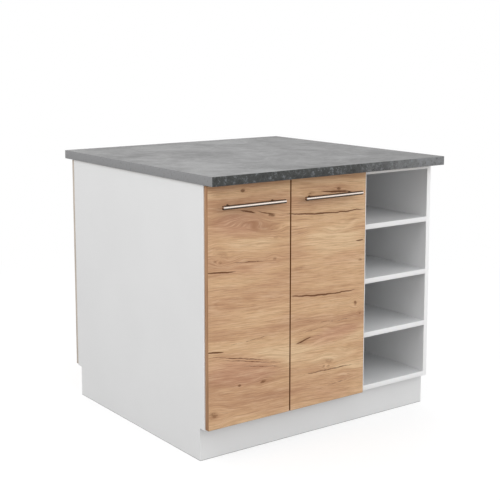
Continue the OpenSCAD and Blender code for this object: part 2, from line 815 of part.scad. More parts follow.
// A pin is a short rod, part in the board and part under the shelf, chamfered at both ends
module shelf_pins() {
    color("silver")
    for (y = pin_ys) for (s = [0, 1])
        translate([s == 0 ? cupboard_x0 : cupboard_x1, y, pin_z])
            mirror([s, 0, 0])
                rotate([0, 90, 0])
                    rotate_extrude()
                        polygon([[0, -pin_in], [pin_d / 2 - pin_arris, -pin_in],
                            [pin_d / 2, -pin_in + pin_arris], [pin_d / 2, pin_out - pin_arris],
                            [pin_d / 2 - pin_arris, pin_out], [0, pin_out]]);
}

module dowels() {
    dowel_arris = 1;
    color("tan")
    for (j = dowel_joints) at_joint(j)
        rotate([0, 90, 0])
            rotate_extrude($fn = 24)
                polygon([[0, -dowel_in], [dowel_d / 2 - dowel_arris, -dowel_in],
                    [dowel_d / 2, -dowel_in + dowel_arris],
                    [dowel_d / 2, dowel_l - dowel_in - dowel_arris],
                    [dowel_d / 2 - dowel_arris, dowel_l - dowel_in], [0, dowel_l - dowel_in]]);
}

module cam_bolts() {
    neck_x0 = cam_neck_x - cam_neck_l;
    head_x0 = cam_head_x - cam_head_t;
    color("silver")
    for (j = cams) at_joint(j)
        rotate([0, 90, 0])
            rotate_extrude($fn = 24)
                polygon([[0, -dowel_in], [cam_bolt_d / 2, -dowel_in], [cam_bolt_d / 2, neck_x0],
                    [cam_neck_d / 2, neck_x0], [cam_neck_d / 2, head_x0], [cam_head_d / 2, head_x0],
                    [cam_head_d / 2, cam_head_x], [0, cam_head_x]]);
}

// A lock has a slot for the bolt's neck, a pocket for its head and a cross for the driver
module cam_locks() {
    pocket_l = 3.4;
    cross_l = 8;
    cross_w = 1.2;
    cross_depth = 2;
    color("silver")
    for (j = cams) at_joint(j) translate([cam_setback, 0, 0])
        difference() {
            bar_z([0, 0, -board_t / 2], cam_t, cam_d);
            block([-cam_d, -cam_slot_w / 2, -cam_slot_w / 2], [-pocket_l / 2, cam_slot_w / 2, board_t / 2]);
            block([-pocket_l, -cam_bolt_d / 2, -cam_bolt_d / 2], [0, cam_bolt_d / 2, board_t / 2]);
            for (a = [0, 90]) rotate([0, 0, a])
                block([-cross_l / 2, -cross_w / 2, -board_t / 2 - over],
                    [cross_l / 2, cross_w / 2, cross_depth - board_t / 2]);
        }
}

// Each bolt is a sleeve and screw with a flat head on both faces
module unit_bolts() {
    head_r = unit_bolt_head_d / 2;
    head_arris = 0.8;
    far_face = 2 * board_t;
    color("silver")
    for (p = unit_bolt_yz)
        translate([cupboard_x1, p[0], p[1]])
            rotate([0, 90, 0])
                rotate_extrude()
                    polygon([[0, -unit_bolt_head_t], [head_r - head_arris, -unit_bolt_head_t],
                        [head_r, 0], [unit_bolt_d / 2, 0], [unit_bolt_d / 2, far_face],
                        [head_r, far_face], [head_r - head_arris, far_face + unit_bolt_head_t],
                        [0, far_face + unit_bolt_head_t]]);
}

// A push-in clip: a stud with barbs in the panel, and a split stud with a tapered end in the rail
module panel_clips() {
    r = clip_d / 2;
    taper = 1.5;
    taper_l = 3;
    rib_l = clip_in_panel / clip_ribs;
    color("whitesmoke")
    for (p = clip_xz)
        translate([p[0], back_y, p[1]])
            rotate([-90, 0, 0])
                difference() {
                    rotate_extrude($fn = 24)
                        polygon([[0, -clip_in_rail], [r - taper, -clip_in_rail],
                            [r, taper_l - clip_in_rail],
                            for (i = [0:clip_ribs - 1])
                                each [[r, i * rib_l], [r - clip_rib_h, (i + 1) * rib_l]],
                            [0, clip_in_panel]]);
                    block([-clip_d, -clip_slot_w / 2, -clip_in_rail - over],
                        [clip_d, clip_slot_w / 2, clip_slot_l - clip_in_rail]);
                }
}

module worktop_screws() {
    color("silver")
    for (p = worktop_screw_xy)
        translate([p[0], p[1], roof_z]) wood_screw(board_t + worktop_screw_in);
}

function bracket_top_screws() = [for (x = bracket_x) for (s = [-1, 1])
    [x + s * bracket_w / 4, back_y - board_t - bracket_hole_at]];
function bracket_rail_screws() = [for (x = bracket_x) for (s = [-1, 1])
    [x + s * bracket_w / 4, carcass_h - bracket_hole_at]];

// What lies between a square corner at the origin and a round of radius r
module corner_web(r) {
    difference() {
        square(r);
        translate([r, r]) circle(r);
    }
}

// Two legs along the axes, rounded inside and outside the bend
module angle_profile() {
    difference() {
        square(bracket_leg);
        translate([bracket_t, bracket_t]) square(bracket_leg);
        corner_web(bracket_bend_r);
    }
    translate([bracket_t, bracket_t]) corner_web(bracket_bend_r - bracket_t);
}

module worktop_brackets() {
    inner_y = back_y - board_t;
    color("gainsboro")
    difference() {
        for (x = bracket_x)
            upright(x - bracket_w / 2, bracket_w)
                translate([inner_y, carcass_h]) rotate(180) angle_profile();
        for (p = bracket_top_screws())
            bar_z([p[0], p[1], carcass_h - bracket_t - over], bracket_t + 2 * over, screw_hole_d);
        for (p = bracket_rail_screws())
            bar_y([p[0], inner_y - bracket_t - over, p[1]], bracket_t + 2 * over, screw_hole_d);
    }
}

module bracket_screws() {
    color("silver") {
        for (p = bracket_top_screws())
            translate([p[0], p[1], carcass_h - bracket_t]) wood_screw(worktop_screw_in);
        for (p = bracket_rail_screws())
            translate([p[0], back_y - board_t - bracket_t, p[1]])
                rotate([-90, 0, 0]) wood_screw(bracket_rail_screw_l);
    }
}

worktop();
side_panel_left();
side_panel_right();
cupboard_side();
shelf_unit_side();
cupboard_bottom();
shelf_unit_bottom();
cupboard_front_rail();
cupboard_rear_rail();
shelf_unit_top();
cupboard_shelf();
open_shelf_lower();
open_shelf_middle();
open_shelf_upper();
cupboard_back();
shelf_unit_back();
plinth_front();
plinth_rear();
rear_rail_bottom();
rear_rail_middle();
rear_rail_top();
cover_panel_left();
cover_panel_middle();
cover_panel_right();
panel_clips();
door_left();
door_right();
handle_bar_left();
handle_bar_right();
handle_posts_left();
handle_posts_right();
handle_screws_left();
handle_screws_right();
door_bumpers_left();
door_bumpers_right();
hinge_cups_left();
hinge_cups_right();
hinge_cup_screws_left();
hinge_cup_screws_right();
hinge_links_left();
hinge_links_right();
hinge_pins_left();
hinge_pins_right();
hinge_arms_left();
hinge_arms_right();
hinge_plates_left();
hinge_plates_right();
hinge_plate_screws_left();
hinge_plate_screws_right();
shelf_pins();
dowels();
cam_bolts();
cam_locks();
unit_bolts();
worktop_screws();
worktop_brackets();
bracket_screws();
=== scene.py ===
import json
import math

import bmesh
import bpy
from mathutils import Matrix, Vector


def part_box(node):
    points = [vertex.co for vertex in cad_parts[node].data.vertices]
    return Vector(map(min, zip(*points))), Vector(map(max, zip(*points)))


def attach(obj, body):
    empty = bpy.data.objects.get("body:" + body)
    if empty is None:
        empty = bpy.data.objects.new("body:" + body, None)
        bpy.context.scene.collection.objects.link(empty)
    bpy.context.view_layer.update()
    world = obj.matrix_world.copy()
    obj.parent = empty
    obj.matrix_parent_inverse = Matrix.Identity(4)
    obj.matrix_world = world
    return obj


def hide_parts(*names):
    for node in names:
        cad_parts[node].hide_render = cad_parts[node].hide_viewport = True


# The kitchen island unit in its finishes, with edge strips on its boards, in a plain pale studio.
# Lengths are in metres, and in the lists of marks in millimetres. The doors face -Y, +X is the side of
# the open shelves, and +Z is up.

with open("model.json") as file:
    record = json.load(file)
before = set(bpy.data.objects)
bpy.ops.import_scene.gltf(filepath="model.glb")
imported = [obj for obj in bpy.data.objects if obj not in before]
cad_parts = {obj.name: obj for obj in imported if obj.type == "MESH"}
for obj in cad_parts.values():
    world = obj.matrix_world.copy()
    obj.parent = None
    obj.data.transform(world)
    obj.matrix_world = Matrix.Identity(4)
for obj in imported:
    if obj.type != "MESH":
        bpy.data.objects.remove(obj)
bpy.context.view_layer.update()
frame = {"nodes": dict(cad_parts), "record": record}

MM = 0.001
BODY_OF = {node: body for body, nodes in frame["record"]["behaviour"]["bodies"].items() for node in nodes}
SIDES = ("left", "right")
AXES = {"x": 0, "y": 1, "z": 2}
FACE_NAMES = {"x-": "left", "x+": "right", "y-": "front", "y+": "rear", "z-": "lower", "z+": "upper"}
SMOOTH_ANGLE = math.radians(35)
SAME_PLACE = 1e-6
CUT_TOLERANCE = 1e-7
PURE_WHITE = (1.0, 1.0, 1.0, 1.0)


# ---- node trees ----

def colour(red, green, blue):
    """A colour in the shader's own scale, from the 0-255 values that a screen shows."""
    def level(value):
        share = value / 255
        return share / 12.92 if share <= 0.04045 else ((share + 0.055) / 1.055) ** 2.4
    return (level(red), level(green), level(blue), 1.0)


def darker(shade, share):
    """A shade of 0-255 values at a share of its strength, as a colour."""
    return colour(*[value * share for value in shade])


class Value:
    """A number that varies over a surface. An expression on it adds the nodes that work it out."""

    def __init__(self, owner, socket):
        self.owner = owner
        self.socket = socket

    def math(self, operation, *others):
        return self.owner.node("ShaderNodeMath", {"operation": operation}, dict(enumerate([self, *others])))

    def __add__(self, other):
        return self.math("ADD", other)

    __radd__ = __add__

    def __mul__(self, other):
        return self.math("MULTIPLY", other)

    __rmul__ = __mul__

    def __sub__(self, other):
        return self.math("SUBTRACT", other)

    def __rsub__(self, other):
        return self.owner.node("ShaderNodeMath", {"operation": "SUBTRACT"}, {0: other, 1: self})

    def times_plus(self, factor, addend):
        return self.math("MULTIPLY_ADD", factor, addend)

    def absolute(self):
        return self.math("ABSOLUTE")

    def smooth(self, none, full):
        """0 at none, 1 at full, and an even swing between them."""
        return self.owner.node("ShaderNodeMapRange", {"interpolation_type": "SMOOTHSTEP"},
                               {"Value": self, "From Min": none, "From Max": full})


class Nodes:
    """A node tree that grows node by node."""

    def __init__(self, tree):
        self.tree = tree

    def feed(self, node, sockets):
        """Links or sets a node's sockets."""
        for key, value in sockets.items():
            if isinstance(value, Value):
                self.tree.links.new(value.socket, node.inputs[key])
            else:
                node.inputs[key].default_value = value

    def node(self, kind, settings=None, sockets=None, out=0):
        """Adds a node. Its settings come first, then the values or links of its sockets."""
        made = self.tree.nodes.new(kind)
        for name, value in (settings or {}).items():
            if name == "stops":
                for _ in value[2:]:
                    made.color_ramp.elements.new(0.5)
                for element, (position, shade) in zip(made.color_ramp.elements, value):
                    element.position = position
                    element.color = colour(*shade)
            else:
                setattr(made, name, value)
        self.feed(made, sockets or {})
        return Value(self, made.outputs[out])

    def seen(self):
        """1 where the camera looks, straight or by a mirror or glass, and 0 where light only bounces."""
        camera, glossy, transmission = [self.node("ShaderNodeLightPath", out=f"Is {kind} Ray")
                                        for kind in ("Camera", "Glossy", "Transmission")]
        return camera.math("MAXIMUM", glossy).math("MAXIMUM", transmission)


class Finish(Nodes):
    """A material for one kind of surface."""

    def __init__(self, name, **settings):
        self.material = bpy.data.materials.new(name)
        self.material.use_nodes = True
        super().__init__(self.material.node_tree)
        self.shader = self.tree.nodes["Principled BSDF"]
        self.look(**settings)

    def look(self, **sockets):
        """Sets sockets of the shader, each named with _ for a space."""
        self.feed(self.shader, {name.replace("_", " "): value for name, value in sockets.items()})

    def bump(self, height, depth, strength):
        self.look(Normal=self.node("ShaderNodeBump", None,
                                   {"Strength": strength, "Distance": depth, "Height": height}))

    def place(self):
        """The place on the object, as a vector."""
        return self.node("ShaderNodeTexCoord", out="Object")

    def parts(self, vector):
        """The x, y and z of a vector."""
        return [self.node("ShaderNodeSeparateXYZ", None, {0: vector}, axis) for axis in range(3)]

    def noise(self, vector, scale, detail, roughness=0.5, distortion=0.0):
        return self.node("ShaderNodeTexNoise", None, {"Vector": vector, "Scale": scale, "Detail": detail,
                                                      "Roughness": roughness, "Distortion": distortion})

    def streaks(self, place, per_metre, detail=2.0, roughness=0.5, distortion=0.0):
        """Noise with its own number of waves per metre along x, y and z."""
        stretched = [part * waves if waves else 0.0 for part, waves in zip(place, per_metre)]
        vector = self.node("ShaderNodeCombineXYZ", None, dict(enumerate(stretched)))
        return self.noise(vector, 1.0, detail, roughness, distortion)

    def mix(self, share, first, second):
        """A colour between two others."""
        return self.node("ShaderNodeMix", {"data_type": "RGBA"}, {0: share, 6: first, 7: second}, out=2)

    def layered(self, base, layers):
        """Lays shades on a colour, one after the other.

        A layer has a value, where its shade starts and where it is full, the most of it and its shade."""
        for value, none, full, most, shade in layers:
            base = self.mix(value.smooth(none, full) * most, base, colour(*shade))
        return base

    def ramp(self, value, *stops):
        return self.node("ShaderNodeValToRGB", {"stops": stops}, {0: value})

    def oval(self, x, z, mark):
        """How far a point is from the middle of a mark, squared: 0 in its middle and 1 on its rim."""
        middle, height, half_length, half_height = [value * MM for value in mark[:4]]
        tilt = math.radians(mark[4])
        turn = math.cos(tilt)
        lean = math.sin(tilt)
        start_along = -(middle * turn + height * lean) / half_length
        start_across = (middle * lean - height * turn) / half_height
        along = x.times_plus(turn / half_length, z.times_plus(lean / half_length, start_along))
        across = x.times_plus(-lean / half_height, z.times_plus(turn / half_height, start_across))
        return along.times_plus(along, across * across)

    def marked(self, x, z, marks, core):
        """The shade of a list of marks, each full inside the share core of its size."""
        shade = 0.0
        for mark in marks:
            shade = self.oval(x, z, mark).smooth(1.0, core * core).times_plus(mark[5], shade)
        return shade


# ---- oak ----

# Marks in the oak print and painted shade: x and height of the middle, half length and half height, all in
# millimetres, then the tilt in degrees, up to the right, and how strong the mark is.
DOOR_KNOTS = [
    (-325, 796, 12, 8, 0, 0.9), (-414, 791, 30, 4, 0, 0.5), (-221, 714, 20, 6, -8, 0.9),
    (-300, 697, 50, 12, -12, 0.4), (-230, 676, 55, 14, -10, 0.45), (-205, 646, 14, 6, -6, 0.55),
    (-395, 616, 26, 15, -20, 0.5), (-423, 598, 9, 6, 0, 0.7), (-404, 594, 9, 6, 0, 0.7),
    (-209, 581, 11, 8, 0, 0.7), (-325, 470, 75, 11, -4, 0.35), (37, 772, 14, 8, 0, 0.8),
    (-71, 766, 22, 7, 8, 0.6), (88, 671, 40, 10, 14, 0.45), (-117, 543, 32, 8, -4, 0.55),
    (128, 541, 12, 5, 0, 0.7), (110, 402, 9, 11, 20, 0.8), (130, 367, 7, 5, 0, 0.7),
    (-338, 219, 10, 6, 0, 0.8), (-251, 214, 18, 7, 12, 0.85), (-432, 146, 28, 18, 0, 0.65),
    (6, 235, 24, 12, 0, 0.55), (-17, 220, 8, 6, 0, 0.6), (2, 217, 10, 5, 0, 0.6),
    (60, 174, 22, 9, 0, 0.4), (-100, 316, 48, 15, 12, 0.5),
]
DOOR_CRACKS = [
    (-90, 706, 95, 2.6, -5, 1.0), (70, 700, 95, 2.4, 0, 0.95), (-10, 702, 60, 2.4, -4, 0.9),
    (-85, 452, 85, 2.8, -6, 1.0), (45, 445, 80, 2.6, 0, 0.95), (-20, 448, 60, 2.6, -4, 0.9),
    (-405, 564, 66, 3.0, -4, 1.0), (-425, 333, 42, 3.0, -4, 1.0), (-107, 315, 24, 3.4, 14, 1.0),
    (-83, 320, 18, 2.6, 14, 0.9), (-300, 584, 80, 2.2, -4, 0.6), (-306, 731, 36, 3.4, -14, 0.85),
    (28, 764, 76, 4.0, -5, 0.8), (125, 603, 20, 2.6, 0, 0.8), (-330, 300, 140, 2.4, -12, 0.55),
    (-290, 284, 150, 2.2, -12, 0.5), (0, 206, 140, 3.0, 0, 0.5), (-240, 722, 44, 2.4, -12, 0.6),
    (-250, 262, 120, 2.2, -10, 0.45), (-60, 345, 90, 2.4, 6, 0.35), (-300, 350, 120, 2.4, 3, 0.35),
    (30, 360, 110, 2.2, -4, 0.35), (60, 160, 90, 2.4, 4, 0.35),
]
# The two brown zones at a height of 808, along the top under the worktop's overhang, are painted shade; the
# other browns are print.
DOOR_BROWNS_AND_SHADE = [
    (-330, 808, 220, 22, 0, 0.9), (40, 808, 200, 18, 0, 0.5), (-330, 765, 220, 32, 0, 0.7),
    (-310, 690, 170, 42, -6, 0.55), (-330, 470, 160, 16, -4, 0.4), (-60, 450, 110, 13, -4, 0.4),
    (-330, 265, 190, 72, -5, 1.0), (20, 322, 150, 34, 2, 0.85), (40, 770, 140, 30, 0, 0.5),
    (60, 115, 150, 13, 0, 0.5), (-150, 215, 200, 22, -3, 0.4),
]
DOOR_PINKS = [
    (-340, 690, 110, 44, -4, 0.8), (-330, 265, 170, 60, -5, 0.9), (30, 322, 140, 34, 2, 1.0),
    (-300, 560, 140, 22, 0, 0.5), (60, 560, 120, 30, 0, 0.4), (20, 130, 130, 20, 0, 0.5),
]
DOOR_PALES = [
    (-300, 615, 170, 36, 0, 0.8), (20, 620, 150, 60, 0, 0.9), (-300, 405, 150, 30, 0, 0.7),
    (20, 395, 140, 26, 0, 0.5), (30, 255, 120, 24, 4, 0.6), (-330, 525, 150, 20, 0, 0.5),
]
# The cover panels have the same print, which runs on over the third of them.
PANEL_KNOTS = DOOR_KNOTS + [
    (188, 330, 30, 10, 0, 0.6), (186, 297, 24, 7, 0, 0.6), (195, 198, 12, 6, 0, 0.6),
    (297, 158, 16, 7, 0, 0.6), (240, 640, 40, 10, 0, 0.3), (400, 560, 30, 8, 0, 0.35),
    (330, 690, 44, 10, 6, 0.35),
]
PANEL_CRACKS = DOOR_CRACKS + [
    (310, 771, 115, 3.2, 2, 0.9), (250, 757, 70, 2.6, -4, 0.7), (-298, 757, 110, 3.6, 6, 0.9),
    (-340, 778, 70, 3.0, -6, 0.8), (385, 323, 52, 3.6, 9, 0.9), (190, 436, 44, 2.6, 0, 0.6),
    (300, 520, 110, 2.4, 3, 0.35), (320, 240, 110, 2.4, -4, 0.4),
]
# The cover panels get the same painted shade along their top.
PANEL_BROWNS_AND_SHADE = DOOR_BROWNS_AND_SHADE + [
    (310, 770, 130, 30, 0, 0.8), (300, 310, 150, 34, 4, 0.8), (310, 180, 150, 20, 0, 0.6),
]
PANEL_PINKS = DOOR_PINKS + [(300, 700, 130, 34, 0, 0.7), (300, 330, 130, 34, 4, 0.8)]
PANEL_PALES = DOOR_PALES + [(300, 620, 150, 70, 0, 0.8), (310, 420, 140, 34, 0, 0.7)]

KNOT_REACH = 3.0        # the grain swells round a knot up to this many times the knot's size
GRAIN_SWELL = 0.55      # and this strongly in its middle, where 1 would leave no lines
GRAIN_RISE = 0.045      # how steeply the grain climbs along x


def oak_front(name, knots, cracks, browns_and_shade, pinks, pales):
    """Oak print with the grain along X: fine straight lines, soft bands, knots and thin dark cracks."""
    oak = Finish(name, Specular_IOR_Level=0.2)
    x, y, z = oak.parts(oak.place())
    wander = oak.streaks((x, y, z), (2.2, 3, 6), 3.0) - 0.5
    ripple = oak.streaks((x, y, z), (26, 3, 20)) - 0.5

    # The marks lie on a slightly wavy height.
    height = z + wander * 0.012 + ripple * 0.008
    knot_shade = oak.marked(x, height, knots, 0.0)
    crack_shade = oak.marked(x, height, cracks, 0.35)
    swell = 0.0
    for knot in knots:
        near = oak.oval(x, height, knot).smooth(KNOT_REACH * KNOT_REACH, 0.0)
        swell = near.times_plus(z - knot[1] * MM, swell)

    # The colour zones have a wavier one, so that their rims are soft and uneven.
    cloud_height = z + wander * 0.08
    # The brown zones hold painted shade along the top as well as brown print.
    brown_and_shade_zone, pink_zone, pale_zone = [oak.marked(x, cloud_height, zones, 0.2)
                                        for zones in (browns_and_shade, pinks, pales)]

    # The grain runs level but for a slight rise, and gives way round the knots.
    grain = z + x * GRAIN_RISE + wander * 0.02 + ripple * 0.001 - swell * GRAIN_SWELL
    along_grain = (x, y, grain)
    broad = oak.streaks(along_grain, (1.8, 6, 14), 4.0, 0.6)
    figure = oak.streaks(along_grain, (4.5, 40, 100), 4.0, 0.7, 0.2)
    fibre = oak.streaks(along_grain, (8, 160, 330), 3.0, 0.7)
    fine = oak.streaks(along_grain, (20, 400, 760))
    pores = oak.streaks(along_grain, (60, 900, 1500), 1.0)
    flecks = oak.streaks((x, y, grain + wander * 0.00714), (20, 300, 420), 2.0, 0.6)
    mottle = oak.streaks((x, y, z), (70, 120, 150), 3.0, 0.7)

    tone = broad + (pale_zone - brown_and_shade_zone) * 0.16
    base = oak.ramp(tone, (0.28, (186, 142, 110)), (0.42, (204, 162, 126)), (0.54, (217, 178, 138)),
                    (0.68, (230, 198, 158)))
    base = oak.mix(pink_zone * 0.55, base, colour(204, 156, 128))
    base = oak.layered(base, [
        (figure, 0.52, 0.70, 0.30, (160, 114, 84)),
        (figure, 0.46, 0.30, 0.28, (236, 204, 168)),
        (fibre, 0.46, 0.66, 0.36, (162, 116, 84)),
        (fine, 0.50, 0.70, 0.34, (150, 104, 72)),
        (fine, 0.48, 0.30, 0.30, (242, 214, 182)),
        (flecks, 0.62, 0.72, 0.36, (134, 90, 58)),
        (pores, 0.60, 0.74, 0.16, (120, 82, 54)),
        (knot_shade, 0.0, 0.9, 0.42, (150, 104, 70)),
        (knot_shade + mottle * 1.2, 1.05, 1.55, 0.70, (106, 66, 38)),
        (crack_shade + mottle * 0.8, 0.55, 1.10, 0.92, (96, 56, 28)),
    ])
    oak.look(Base_Color=base, Roughness=fibre * 0.14 + 0.44)
    oak.bump(fibre * 0.6 - crack_shade - pores * 0.3, 0.00012, 0.5)
    return oak.material


def oak_edging(name, along, dark, pale, shine=0.2):
    """Oak edge strip with the grain along the strip."""
    oak = Finish(name, Specular_IOR_Level=shine)
    x, y, z = oak.parts(oak.place())
    length, across = (z, x) if along == "z" else (x, z)
    figure = oak.streaks((length, y, across), (3, 120, 120), 3.0)
    fibre = oak.streaks((length, y, across), (14, 420, 420))
    patch = oak.streaks((length, y, across), (5, 0, 0))
    base = oak.mix((figure * 0.5 + patch * 0.5).smooth(0.36, 0.60), colour(*dark), colour(*pale))
    base = oak.mix(fibre.smooth(0.4, 0.7) * 0.3, base, darker(dark, 0.75))
    oak.look(Base_Color=base, Roughness=fibre * 0.15 + 0.42)
    oak.bump(fibre, 0.0001, 0.5)
    return oak.material


# ---- other boards ----

def coated_board(name, shade, roughness):
    """White melamine board: an even coat with a fine pearl grain."""
    board = Finish(name, Specular_IOR_Level=0.4)
    place = board.place()
    cloud = board.noise(place, 5.0, 3.0)
    pearl = board.noise(place, 900.0, 1.0)
    duller = colour(*[value - 2 for value in shade])
    board.look(Base_Color=board.mix(cloud.smooth(0.3, 0.7), duller, colour(*shade)),
               Roughness=pearl * 0.12 + roughness)
    board.bump(pearl, 0.00005, 0.5)
    return board.material


def stone_laminate(name):
    """Grey stone print of the worktop's face: soft clouds, fine grain and faint pale threads."""
    stone = Finish(name, Specular_IOR_Level=0.03)
    place = stone.place()
    cloud = stone.noise(place, 4.5, 5.0, 0.65, 0.4)
    mottle = stone.noise(place, 30.0, 5.0, 0.7)
    grit = stone.noise(place, 420.0, 2.0)
    thread = (stone.noise(place, 3.2, 4.0, 0.6, 0.9) - 0.5).absolute().smooth(0.022, 0.0)
    base = stone.ramp(cloud * 0.6 + mottle * 0.4, (0.38, (126, 126, 126)), (0.50, (141, 141, 141)),
                      (0.62, (154, 154, 154)))
    base = stone.mix(thread * cloud * 0.4, base, colour(168, 168, 168))
    base = stone.layered(base, [(grit, 0.45, 0.75, 0.25, (114, 114, 115))])
    stone.look(Base_Color=base, Roughness=mottle * 0.2 + 0.6)
    stone.bump(grit * 0.4 + mottle * 0.6, 0.00025, 0.5)
    return stone.material


def stone_edging(name, shade_from, shade_to, from_x, to_x, contrast):
    """Slate-print worktop edge strip, with painted shade that goes from one colour to another along x."""
    slate = Finish(name, Specular_IOR_Level=0.15)
    place = slate.place()
    x = slate.parts(place)[0]
    cloud = slate.noise(place, 14.0, 5.0, 0.65, 0.6)
    chips = slate.noise(place, 90.0, 5.0, 0.8)
    along = (x + (cloud - 0.5) * 0.5).smooth(from_x, to_x)
    base = slate.layered(slate.mix(along, colour(*shade_from), colour(*shade_to)), [
        (chips, 0.52, 0.66, contrast, (142, 146, 150)),
        (chips, 0.48, 0.36, contrast, (46, 46, 45)),
    ])
    slate.look(Base_Color=base, Roughness=chips * 0.2 + 0.4)
    slate.bump(chips, 0.0002, 0.5)
    return slate.material


def backing_sheet(name):
    """The plain brown paper under the worktop."""
    sheet = Finish(name)
    fibres = sheet.streaks(sheet.parts(sheet.place()), (40, 220, 220), 3.0)
    sheet.look(Base_Color=sheet.mix(fibres, colour(150, 132, 112), colour(172, 154, 132)), Roughness=0.75)
    sheet.bump(fibres, 0.0001, 0.4)
    return sheet.material


COAT_BLEND = 0.0002


def hardboard(name, coat_y):
    """Hardboard back: white in front of coat_y, and brown pressed fibre behind it."""
    back = Finish(name)
    place = back.place()
    y = back.parts(place)[1]
    fibres = back.noise(place, 350.0, 3.0, 0.7)
    brown = back.mix(fibres, colour(112, 80, 54), colour(146, 110, 78))
    white = back.mix(fibres.smooth(0.3, 0.7), colour(232, 232, 232), colour(236, 236, 236))
    back.look(Base_Color=back.mix(y.smooth(coat_y, coat_y + COAT_BLEND), white, brown),
              Roughness=fibres * 0.2 + 0.45)
    back.bump(fibres, 0.0001, 0.5)
    return back.material


def beech(name):
    wood = Finish(name)
    grain = wood.streaks(wood.parts(wood.place()), (30, 700, 700), 3.0)
    wood.look(Base_Color=wood.mix(grain, colour(196, 158, 116), colour(222, 190, 150)), Roughness=0.7)
    wood.bump(grain, 0.0002, 0.6)
    return wood.material


# ---- metal, plastic and rubber ----

LINE_WAVES = 14.0       # brushed lines per metre along their run
CROSS_WAVES = 2600.0    # and across it


def steel(name, shade, roughness, along):
    """Steel with fine lines along one axis."""
    metal = Finish(name, Metallic=1.0)
    place = metal.place()
    waves = [LINE_WAVES if axis == along else CROSS_WAVES for axis in AXES]
    lines = metal.streaks(metal.parts(place), waves)
    haze = metal.noise(place, 60.0, 3.0)
    metal.look(Base_Color=metal.mix(lines * 0.5 + haze * 0.5, darker(shade, 0.90), colour(*shade)),
               Roughness=lines * 0.12 + haze * 0.08 + roughness)
    metal.bump(lines, 0.00002, 0.35)
    return metal.material


def handle_steel(name, bar):
    """Brushed bar steel, with painted dark reflections and shade in bands above and below its middle."""
    metal = Finish(name, Metallic=1.0, Specular_Tint=(0.3, 0.26, 0.23, 1.0))
    low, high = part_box(bar)
    x, y, z = metal.parts(metal.place())
    lines = metal.streaks((x, y, z), (LINE_WAVES, CROSS_WAVES, CROSS_WAVES))
    patches = metal.streaks((x, y, z), (9, 0, 0), 1.0)
    above = z - (low.z + high.z) / 2
    bright = metal.mix(lines * 0.5 + patches * 0.5, colour(184, 172, 162), colour(226, 216, 208))
    # Painted dark reflections in bands above and below the bar's middle; the lower band, darker, is painted
    # shade.
    base = metal.layered(bright, [
        (above, 0.0016, 0.0032, 0.88, (116, 98, 86)),
        (above, -0.0003, -0.0021, 0.94, (62, 55, 51)),
    ])
    metal.look(Base_Color=base, Roughness=lines * 0.12 + 0.16)
    metal.bump(lines, 0.00002, 0.35)
    return metal.material


def plated(name, shade, roughness):
    """Pressed or cast metal under a plated coat, with small pits."""
    metal = Finish(name, Metallic=1.0)
    place = metal.place()
    haze = metal.noise(place, 45.0, 4.0, 0.6)
    pits = metal.noise(place, 1400.0, 2.0)
    metal.look(Base_Color=metal.mix(haze, darker(shade, 0.86), colour(*shade)),
               Roughness=haze * 0.18 + roughness)
    metal.bump(pits, 0.00003, 0.4)
    return metal.material


def moulded(name, shade, roughness):
    """Moulded plastic or rubber."""
    plastic = Finish(name, Specular_IOR_Level=0.4)
    haze = plastic.noise(plastic.place(), 90.0, 3.0)
    plastic.look(Base_Color=plastic.mix(haze, darker(shade, 0.95), colour(*shade)),
                 Roughness=haze * 0.15 + roughness)
    plastic.bump(haze, 0.00005, 0.3)
    return plastic.material


# ---- the finishes ----

HARDBOARD_COAT = 0.0004

OAK_DOORS = oak_front("oak_door_print", DOOR_KNOTS, DOOR_CRACKS, DOOR_BROWNS_AND_SHADE, DOOR_PINKS, DOOR_PALES)
OAK_PANELS = oak_front("oak_panel_print", PANEL_KNOTS, PANEL_CRACKS, PANEL_BROWNS_AND_SHADE, PANEL_PINKS, PANEL_PALES)
OAK_EDGE_UPRIGHT = oak_edging("oak_edging_upright", "z", (150, 108, 76), (178, 138, 104))
# The meeting edges, in the gaps between the doors and between the cover panels, are a darker, duller copy
# of the oak edging: painted shade in the gaps.
OAK_EDGE_MEETING_PAINTED_SHADE = oak_edging("oak_edging_meeting_painted_shade", "z", (116, 74, 40), (136, 92, 56), 0.05)
OAK_EDGE_LEVEL = oak_edging("oak_edging_level", "x", (150, 112, 80), (188, 150, 114))
PANEL_EDGE_UPRIGHT = oak_edging("panel_edging_upright", "z", (186, 174, 162), (206, 194, 182))
WHITE = coated_board("white_coated_board", (230, 230, 230), 0.42)
# A lighter copy of the white board, for the open shelves' partition and top: painted light inside the
# shelves.
INNER_WHITE_PAINTED_LIGHT = coated_board("white_inner_board_painted_light", (240, 240, 241), 0.42)
# A greyer copy of the white board, for the shelves: painted shade on the shelves.
SHELF_WHITE_PAINTED_SHADE = coated_board("white_shelf_board_painted_shade", (222, 223, 224), 0.42)
# The edge strips are lighter copies of the white boards' coat: a painted highlight along the boards' edges.
WHITE_EDGE_PAINTED_LIGHT = coated_board("white_edging_painted_light", (252, 252, 252), 0.34)
SHELF_EDGE_PAINTED_LIGHT = coated_board("white_shelf_edging_painted_light", (243, 243, 243), 0.34)
# A grey strip along the foot of the side panels and plinths: a painted contact shadow.
FOOT_PAINTED_SHADOW = coated_board("grey_foot_painted_shadow", (158, 158, 158), 0.5)
STONE = stone_laminate("stone_laminate")
